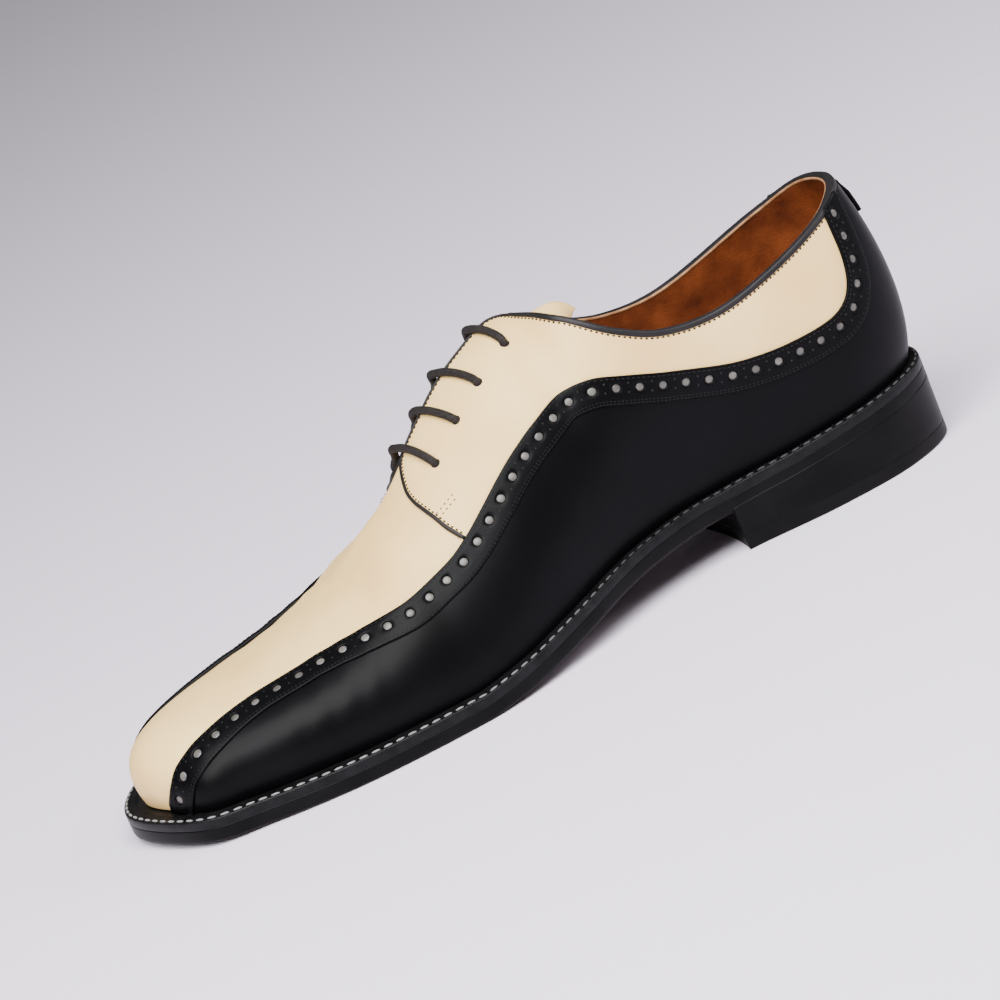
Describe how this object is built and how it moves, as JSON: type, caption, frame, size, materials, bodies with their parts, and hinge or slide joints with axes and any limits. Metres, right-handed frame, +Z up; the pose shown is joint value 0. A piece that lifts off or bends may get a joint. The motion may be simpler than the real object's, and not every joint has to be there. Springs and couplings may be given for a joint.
{
  "type": "spectator shoe",
  "caption": "Two-tone lace-up leather dress shoe for the left foot, pale vamp and quarters with dark side wings, welted sole and stacked heel.",
  "frame": {"origin": "middle of the shoe's box seen from above, on the floor under the sole", "axes": "+X towards the toe, +Y towards the outer side of the foot, +Z up"},
  "size_m": [0.3068, 0.1082, 0.1002],
  "materials": {
    "cream_leather": "smooth, soft sheen",
    "black_leather": "smooth calf, soft sheen",
    "sole_leather": "black waxed edge, satin",
    "lining_leather": "tan, matt",
    "rubber_lift": "matt black",
    "lace": "round waxed cotton, matt"
  },
  "bodies": {
    "root": {"outsole": "sole_leather", "welt": "sole_leather", "insole": "lining_leather", "heel_block": "sole_leather", "heel_lift": "rubber_lift", "upper": "cream_leather", "wing_outer": "black_leather", "wing_inner": "black_leather", "tongue": "cream_leather", "heel_tab": "black_leather", "lace_bar_1": "lace", "lace_bar_2": "lace", "lace_bar_3": "lace", "lace_bar_4": "lace"}
  },
  "joints": []
}
